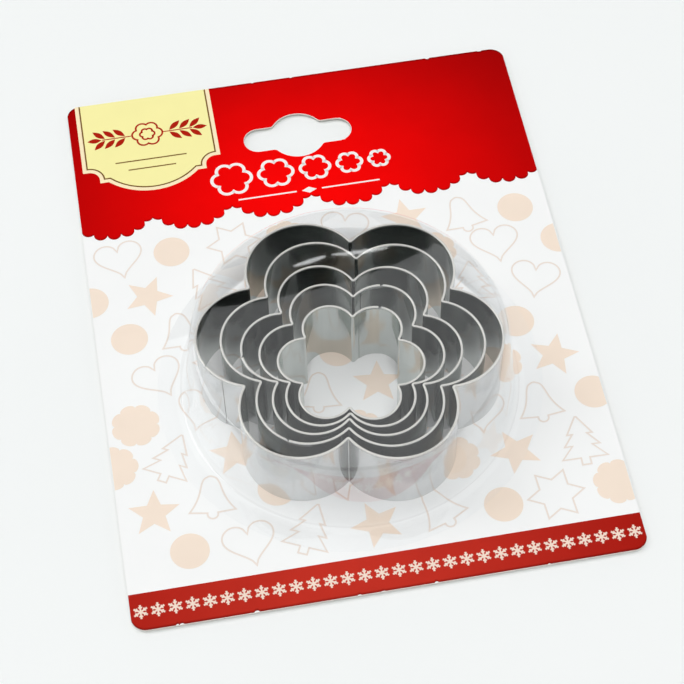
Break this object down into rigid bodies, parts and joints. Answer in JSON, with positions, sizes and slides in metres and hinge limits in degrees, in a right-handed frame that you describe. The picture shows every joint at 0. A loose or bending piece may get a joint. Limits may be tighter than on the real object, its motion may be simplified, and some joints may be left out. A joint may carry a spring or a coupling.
{
  "type": "carded cookie cutter set",
  "caption": "Flower-shaped steel cookie cutters nested on a printed hang card under a clear round blister; blister and cutters lift off the card and out of each other.",
  "frame": {"origin": "under the middle of the backing card, on its back face", "axes": "+Z out of the card's printed front, +Y along the card towards the hang slot, +X to the card's right"},
  "size_m": [0.133, 0.175, 0.0242],
  "materials": {
    "printed_card": "coated white board, printed in red, cream and pale peach",
    "stainless_strip": "bright rolled stainless strip",
    "clear_film": "clear glossy vacuum-formed film"
  },
  "bodies": {
    "card": {"backing_card": "printed_card"},
    "cutter_1": {"flower_cutter_1": "stainless_strip"},
    "cutter_2": {"flower_cutter_2": "stainless_strip"},
    "cutter_3": {"flower_cutter_3": "stainless_strip"},
    "cutter_4": {"flower_cutter_4": "stainless_strip"},
    "cutter_5": {"flower_cutter_5": "stainless_strip"},
    "cover": {"blister": "clear_film"}
  },
  "joints": [
    {"name": "cutter_1_lift", "type": "slide", "parent": "card", "child": "cutter_1", "axis": [0, 0, 1], "range_m": [0, 0.03]},
    {"name": "cutter_2_lift", "type": "slide", "parent": "cutter_1", "child": "cutter_2", "axis": [0, 0, 1], "range_m": [0, 0.03]},
    {"name": "cutter_3_lift", "type": "slide", "parent": "cutter_2", "child": "cutter_3", "axis": [0, 0, 1], "range_m": [0, 0.03]},
    {"name": "cutter_4_lift", "type": "slide", "parent": "cutter_3", "child": "cutter_4", "axis": [0, 0, 1], "range_m": [0, 0.03]},
    {"name": "cutter_5_lift", "type": "slide", "parent": "cutter_4", "child": "cutter_5", "axis": [0, 0, 1], "range_m": [0, 0.03]},
    {"name": "blister_lift", "type": "slide", "parent": "cutter_5", "child": "cover", "axis": [0, 0, 1], "range_m": [0, 0.03]}
  ]
}
